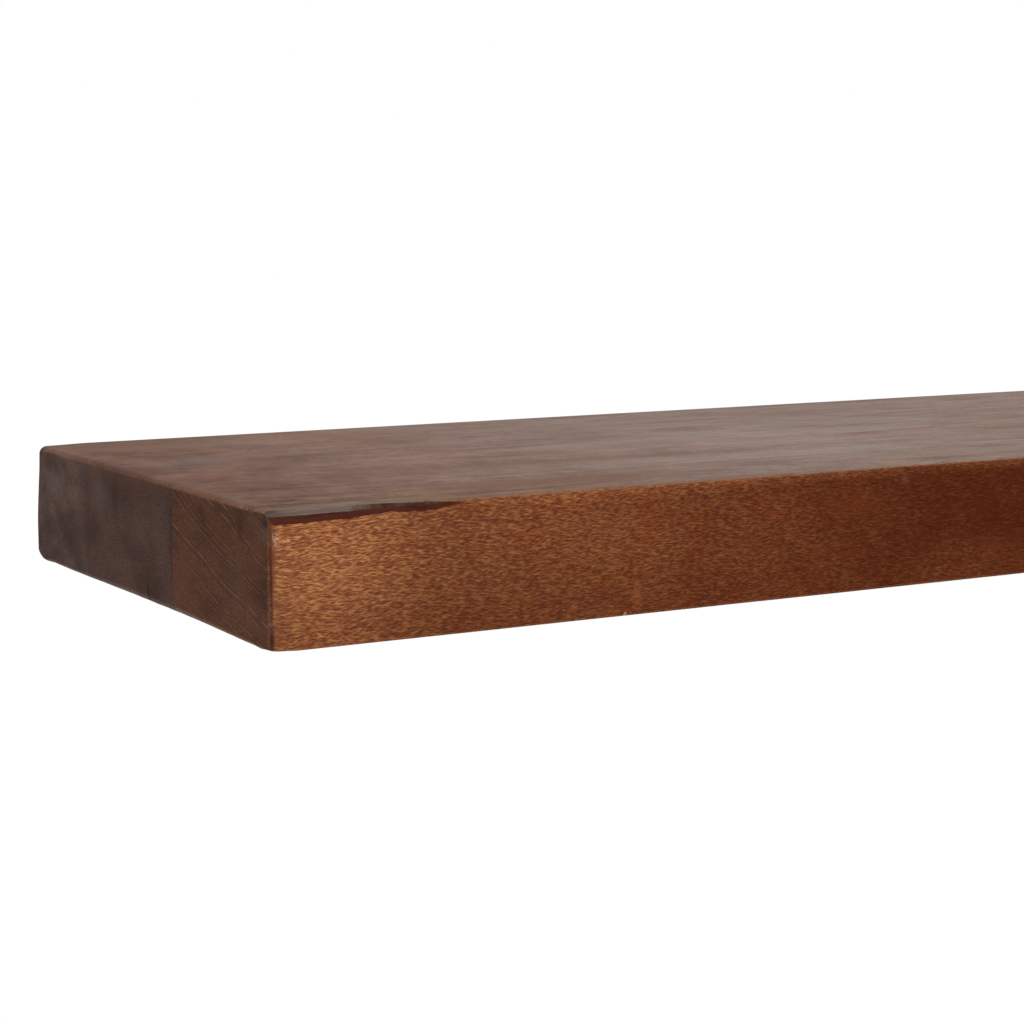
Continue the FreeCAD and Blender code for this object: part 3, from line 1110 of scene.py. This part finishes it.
def build_stave(node, materials, cutters):
    piece = shaped(node + "_wood", materials, add_stave, node, bpy.context.scene.shelf_plank)
    mark_matt_faces(piece)
    finished(piece, cutters, 35, "shelf_board", node)


class PieceOperator:
    """What the operators share."""
    bl_options = {"REGISTER", "UNDO"}

    def execute(self, context):
        self.build(context.scene)
        return {"FINISHED"}


class SHELF_OT_rear_stave(PieceOperator, bpy.types.Operator):
    """Build the rear stave, with the groove, pockets and bores for the bracket."""
    bl_idname = "shelf.rear_stave"
    bl_label = "Rear Stave"

    def build(self, scene):
        sizes, raw = scene.shelf_plank, raw_wood()
        wood = wood_pair("rear_wood", scene.shelf_rear, REAR_MARKS)
        cutters = groove_cutters(sizes, raw) + bore_cutters(sizes, raw) + clamp_cutters(sizes, raw)
        cutters.append(shaped("heel_waste", wood[1], add_heel, sizes))
        build_stave("rear_stave", wood + [raw], cutters)


class SHELF_OT_middle_stave(PieceOperator, bpy.types.Operator):
    """Build the middle stave, bored for the rods, with a drying check in its left end."""
    bl_idname = "shelf.middle_stave"
    bl_label = "Middle Stave"

    def build(self, scene):
        raw = raw_wood()
        wood = wood_pair("middle_wood", scene.shelf_middle, MIDDLE_MARKS)
        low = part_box("middle_stave")[0]
        check = shaped(
            "drying_check", plain_mark_material("check_shadow", srgb(30, 21, 18)), add_crack,
            Vector((low.x - MM, -136.5 * MM, low.z - MM)),
            Vector((low.x + 9 * MM, -135.7 * MM, low.z + 14 * MM)), 4.0)
        build_stave("middle_stave", wood + [raw], [check] + bore_cutters(scene.shelf_plank, raw))


class SHELF_OT_front_stave(PieceOperator, bpy.types.Operator):
    """Build the front stave, with its waney corner, a chip, a dent and blind bores."""
    bl_idname = "shelf.front_stave"
    bl_label = "Front Stave"

    def build(self, scene):
        raw = raw_wood()
        wood = wood_pair("front_wood", scene.shelf_front, FRONT_MARKS)
        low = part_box("front_stave")[0]
        fresh = plain_mark_material("fresh_chip", srgb(194, 150, 108))
        dull = plain_mark_material("dull_dent", srgb(98, 66, 54))
        cutters = [
            shaped("wane_waste", wane_materials(), add_wane),
            shaped("bottom_chip", fresh, add_chip, Vector((low.x + 149.2 * MM, low.y, low.z + 0.8 * MM)),
                   Vector((0.7, 0.8, 1.3)) * MM, 1.0),
            shaped("front_dent", dull, add_chip, Vector((low.x + 285.6 * MM, low.y - 0.5 * MM, 20.3 * MM)),
                   Vector((0.9, 0.7, 0.7)) * MM, 2.0)]
        build_stave("front_stave", wood + [raw], cutters + bore_cutters(scene.shelf_plank, raw))


# ---------------------------------------------------------------- the bracket

def coated_steel():
    """Black powder coat with a fine orange peel."""
    material, n, shader = new_material("plate_coat", srgb(34, 34, 35), 0.5)
    speckle = metal_speckle(n, Place=place_in_mm(n), Size=0.45)
    tone = n.mix(speckle["Mottle"], srgb(31, 31, 32), srgb(40, 40, 41))
    n.put(shader, Base_Color=tone, Roughness=speckle["Mottle"] * 0.1 + 0.42)
    n.put(shader, Normal=n.bump(speckle["Grain"], 0.5, 0.0001))
    return material


def turned_metal(name, tone, shade, roughness, axis, relief, metallic=1.0):
    """Bare or plated metal with fine turning rings about one axis."""
    material, n, shader = new_material(name, tone, roughness, metallic)
    place = place_in_mm(n)
    speckle = metal_speckle(n, Place=place, Size=0.8)
    squash = [0.15, 0.15, 0.15]
    squash[axis] = 9.0
    height = speckle["Grain"] * 0.3 + n.noise(place * squash)
    n.put(shader, Base_Color=n.mix(speckle["Mottle"], shade, tone))
    n.put(shader, Roughness=speckle["Mottle"] * 0.12 + (roughness - 0.06))
    n.put(shader, Normal=n.bump(height, 0.35, relief))
    return material


def line_of(node, axis):
    """A turned part's middle line from its rear or lower end, its length and its width."""
    low, high, size, middle = extent(node)
    start, end = middle.copy(), middle.copy()
    start[axis], end[axis] = (high.y, low.y) if axis == Y else (low[axis], high[axis])
    return start, end, size[axis], size.x


def add_plate(bm, low, high, metal):
    """Adds the plate with its four corners rounded, and then its edges."""
    add_box(bm, low, high)
    bevelled(bm, long_edges(bm, Y, (high.y - low.y) / 2), metal.plate_corner, 8)
    rims = [e for e in bm.edges if abs(e.verts[0].co.y - e.verts[1].co.y) < TOUCH]
    bevelled(bm, rims, metal.plate_edge, 4)


class SHELF_OT_wall_plate(PieceOperator, bpy.types.Operator):
    """Build the wall plate, with its slots, rod holes and countersunk end holes."""
    bl_idname = "shelf.wall_plate"
    bl_label = "Wall Plate"

    def build(self, scene):
        metal, coat = scene.shelf_metal, coated_steel()
        low, high, size, _ = extent("wall_plate")

        def through(name, x, build, *numbers):
            """Waste that goes through the plate from its rear face."""
            return shaped(name, coat, build, *numbers, *across(x, high.y, low.y))

        made = []
        for name in RODS:
            start, _, _, wide = line_of(name, Y)
            radius = wide / 2 + THREAD_ROOM
            made.append(through(name + "_hole", start.x, add_hole, radius, 0.2 * MM))
        for x in (-metal.slot_spacing / 2, metal.slot_spacing / 2):
            made.append(through(
                "stud_slot", x, add_slot, metal.slot_length, metal.slot_width, 0.3 * MM))
        hole, sink = metal.end_hole / 2, metal.countersink / 2
        deep, past = size.y - (sink - hole), 1 * MM
        outline = (
            (0, -past), (hole + 0.3 * MM, -past), (hole + 0.3 * MM, 0), (hole, 0.3 * MM),
            (hole, deep), (sink, size.y), (sink + past, size.y + past), (0, size.y + past))
        for x in (low.x + metal.end_hole_inset, high.x - metal.end_hole_inset):
            made.append(through("end_hole", x, add_turned, outline))
        piece = shaped("wall_plate_coated", coat, add_plate, low, high, metal)
        finished(piece, made, 25, "wall_bracket", "wall_plate")


class SHELF_OT_support_rods(PieceOperator, bpy.types.Operator):
    """Build the four support rods, threaded where they pass through the plate and nuts."""
    bl_idname = "shelf.support_rods"
    bl_label = "Support Rods"

    def build(self, scene):
        metal = scene.shelf_metal
        zinc = turned_metal(
            "rod_zinc", srgb(206, 205, 202), srgb(184, 184, 183), 0.3, Y, 0.00004)
        for name in RODS:
            start, end, long, wide = line_of(name, Y)
            radius, tip, edge = wide / 2, metal.rod_tip_chamfer, 0.6 * MM
            outline = (
                (0, 0), (radius - edge, 0), (radius, edge), (radius, long - tip),
                (radius - tip, long - 0.12 * MM), (radius - tip - 0.3 * MM, long), (0, long))
            piece = shaped(name + "_zinc", zinc, add_turned, outline, start, end, 64)
            thread = shaped(
                name + "_thread", zinc, add_thread, radius, metal.rod_thread_depth,
                metal.rod_thread_pitch, metal.rod_thread_length, start, end)
            finished(piece, [thread], 30, "wall_bracket", name)


class SHELF_OT_lock_nuts(PieceOperator, bpy.types.Operator):
    """Build the four thin lock nuts, chamfered on both faces."""
    bl_idname = "shelf.lock_nuts"
    bl_label = "Lock Nuts"

    def build(self, scene):
        zinc = turned_metal(
            "nut_zinc", srgb(200, 198, 192), srgb(178, 177, 172), 0.34, Y, 0.00003)
        bore = extent(RODS[0])[2].x / 2 + THREAD_ROOM
        for name in NUTS:
            start, end, thick, flats = line_of(name, Y)
            corner, shoulder = flats * 0.61, flats * 0.475
            fall = (corner - shoulder) * math.tan(math.radians(30))
            outline = (
                (0, 0), (shoulder, 0), (corner, fall), (corner, thick - fall),
                (shoulder, thick), (0, thick))
            piece = shaped(name + "_zinc", zinc, add_hexagon, flats, start, end)
            blank = shaped("nut_blank", zinc, add_turned, outline, start, end, 96)
            carved(piece, [blank], "INTERSECT")
            hole = shaped("nut_bore", zinc, add_hole, bore, 0.5 * MM, start, end)
            finished(piece, [hole], 25, "wall_bracket", name)


# ---------------------------------------------------------------- the clamps

class SHELF_OT_clamp_inserts(PieceOperator, bpy.types.Operator):
    """Build the two brass inserts in the underside, with their inner threads."""
    bl_idname = "shelf.clamp_inserts"
    bl_label = "Clamp Inserts"

    def build(self, scene):
        metal = scene.shelf_metal
        brass = turned_metal(
            "insert_brass", srgb(212, 180, 112), srgb(190, 154, 88), 0.3, Z, 0.00003)
        for name, screw in zip(INSERTS, CLAMP_SCREWS):
            start, end, tall, wide = line_of(name, Z)
            flange, sleeve = wide / 2, wide * SLEEVE_SHARE
            bore = extent(screw)[2].x / 2 + THREAD_ROOM
            thick, edge = metal.insert_flange, 0.25 * MM
            outline = (
                (0, 0), (flange - edge, 0), (flange - 0.07 * MM, 0.07 * MM), (flange, edge),
                (flange, thick), (sleeve, thick), (sleeve, tall - 0.5 * MM),
                (sleeve - 0.5 * MM, tall), (0, tall))
            piece = shaped(name + "_brass", brass, add_turned, outline, start, end, 64)
            made = [
                shaped("insert_bore", brass, add_hole, bore, 0.45 * MM, start, end),
                shaped("insert_thread", brass, add_thread, bore, -0.3 * MM,
                       metal.clamp_thread_pitch, tall + 2 * MM, start, end)]
            finished(piece, made, 30, "shelf_board", name)


class SHELF_OT_clamp_screws(PieceOperator, bpy.types.Operator):
    """Build the two headless clamp screws, each with a hexagonal key socket."""
    bl_idname = "shelf.clamp_screws"
    bl_label = "Clamp Screws"

    def build(self, scene):
        metal = scene.shelf_metal
        black = turned_metal(
            "screw_black", srgb(52, 51, 53), srgb(38, 37, 39), 0.42, Z, 0.00003, 0.85)
        for name, body in zip(CLAMP_SCREWS, ("clamp_left", "clamp_right")):
            start, end, tall, wide = line_of(name, Z)
            radius, edge, tip = wide / 2, 0.5 * MM, 0.8 * MM
            outline = (
                (0, 0), (radius - edge, 0), (radius, edge), (radius, tall - tip),
                (radius - tip, tall), (0, tall))
            piece = shaped(name + "_black", black, add_turned, outline, start, end, 48)
            below = start - Vector((0, 0, MM))
            inside = start + Vector((0, 0, metal.clamp_key_depth))
            lip = metal.clamp_key * 0.62
            mouth = (
                (0, -0.2 * MM), (lip + 0.2 * MM, -0.2 * MM), (lip - 0.5 * MM, 0.5 * MM),
                (0, 0.5 * MM))
            made = [
                shaped("key_socket", black, add_hexagon, metal.clamp_key, below, inside),
                shaped("key_mouth", black, add_turned, mouth, start, end),
                shaped("clamp_thread", black, add_thread, radius, metal.clamp_thread_depth,
                       metal.clamp_thread_pitch, tall + 2 * MM, start, end)]
            finished(piece, made, 30, body, name)


# ---------------------------------------------------------------- the stage

class SHELF_OT_stage(PieceOperator, bpy.types.Operator):
    """Set up the camera, the lamp, the white surroundings and the floor."""
    bl_idname = "shelf.stage"
    bl_label = "Stage"

    def build(self, scene):
        sizes = scene.shelf_stage
        place_camera(scene, sizes)
        white_world(scene)
        soft_sun(scene, 1.15, (0.25, -0.8, 0.8))
        bm = bmesh.new()
        bmesh.ops.create_grid(bm, x_segments=8, y_segments=8, size=sizes.floor_size / 2)
        bmesh.ops.translate(bm, vec=(0, 0, -sizes.floor_drop), verts=bm.verts)
        link_piece("floor", bm, [floor_paper()])
        scene.view_settings.view_transform = "Standard"


def place_camera(scene, sizes):
    camera = bpy.data.objects.new("camera", bpy.data.cameras.new("camera"))
    scene.collection.objects.link(camera)
    camera.data.lens = sizes.lens
    camera.data.sensor_width = 36
    camera.data.clip_end = 200
    camera.location = (sizes.camera_x, sizes.camera_y, sizes.camera_z)
    camera.rotation_euler = (math.pi / 2 - sizes.camera_pitch, 0, -sizes.camera_yaw)
    scene.camera = camera


def seen_directly(n):
    """1 where the camera, a reflection or glass looks, and 0 where a surface is lit."""
    path = n.outputs(n.add("ShaderNodeLightPath"))
    seen = n.math("MAXIMUM", path["Is Camera Ray"], path["Is Glossy Ray"])
    return n.math("MAXIMUM", seen, path["Is Transmission Ray"])


def white_world(scene):
    """White where it is seen, and a soft even light on surfaces."""
    world = bpy.data.worlds.new("studio")
    scene.world = world
    world.use_nodes = True
    n = Nodes(world.node_tree)
    background = world.node_tree.nodes["Background"]
    n.put(background, Color=(1, 1, 1), Strength=seen_directly(n) * 0.3 + 0.7)


def floor_paper():
    """White paper, lifted to the white of the surroundings where seen, and clear from below."""
    material, n, shader = new_material("floor_paper", (0.96, 0.96, 0.96), 0.9)
    n.put(shader, Specular_IOR_Level=0.0, Emission_Color=(1, 1, 1))
    n.put(shader, Emission_Strength=seen_directly(n) * 0.1)
    cleared = n.add("ShaderNodeMixShader")
    n.feed(cleared.inputs[0], n.output(n.add("ShaderNodeNewGeometry"), "Backfacing"))
    n.feed(cleared.inputs[1], n.output(shader))
    n.feed(cleared.inputs[2], n.output(n.add("ShaderNodeBsdfTransparent")))
    n.put(material.node_tree.nodes["Material Output"], Surface=n.output(cleared))
    return material


def soft_sun(scene, strength, place):
    """A very wide, distant lamp that shines from one side."""
    lamp = bpy.data.objects.new("key_light", bpy.data.lights.new("key_light", "SUN"))
    scene.collection.objects.link(lamp)
    lamp.data.energy = strength
    lamp.data.angle = math.radians(50)
    lamp.location = place
    lamp.rotation_euler = (-Vector(place)).to_track_quat("-Z", "Y").to_euler()


# ---------------------------------------------------------------- panel and main

class SHELF_PT_panel(bpy.types.Panel):
    """Lists the operators that build the shelf, and the sizes they use."""
    bl_label = "Floating Shelf"
    bl_space_type = "VIEW_3D"
    bl_region_type = "UI"
    bl_category = "Shelf"

    def draw(self, context):
        for operator in OPERATORS:
            self.layout.operator(operator.bl_idname)
        for group in SETTINGS:
            owner = getattr(context.scene, group)
            for key in owner.bl_rna.properties.keys():
                if key not in ("name", "rna_type"):
                    self.layout.prop(owner, key, text=key.replace("_", " ").title())


SETTINGS = {
    "shelf_plank": PlankSizes,
    "shelf_metal": MetalSizes,
    "shelf_stage": StageSizes,
    "shelf_rear": RearColours,
    "shelf_middle": MiddleColours,
    "shelf_front": FrontColours,
}
OPERATORS = (
    SHELF_OT_rear_stave, SHELF_OT_middle_stave, SHELF_OT_front_stave, SHELF_OT_wall_plate,
    SHELF_OT_support_rods, SHELF_OT_lock_nuts, SHELF_OT_clamp_inserts, SHELF_OT_clamp_screws,
    SHELF_OT_stage)
CLASSES = (*SETTINGS.values(), *OPERATORS, SHELF_PT_panel)


def register():
    for cls in CLASSES:
        bpy.utils.register_class(cls)
    for name, kind in SETTINGS.items():
        setattr(bpy.types.Scene, name, PointerProperty(type=kind))


def unregister():
    for name in SETTINGS:
        delattr(bpy.types.Scene, name)
    for cls in reversed(CLASSES):
        bpy.utils.unregister_class(cls)


def main():
    register()
    for operator in OPERATORS:
        getattr(bpy.ops.shelf, operator.bl_idname.removeprefix("shelf."))()
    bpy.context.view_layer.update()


if __name__ == "__main__":
    main()
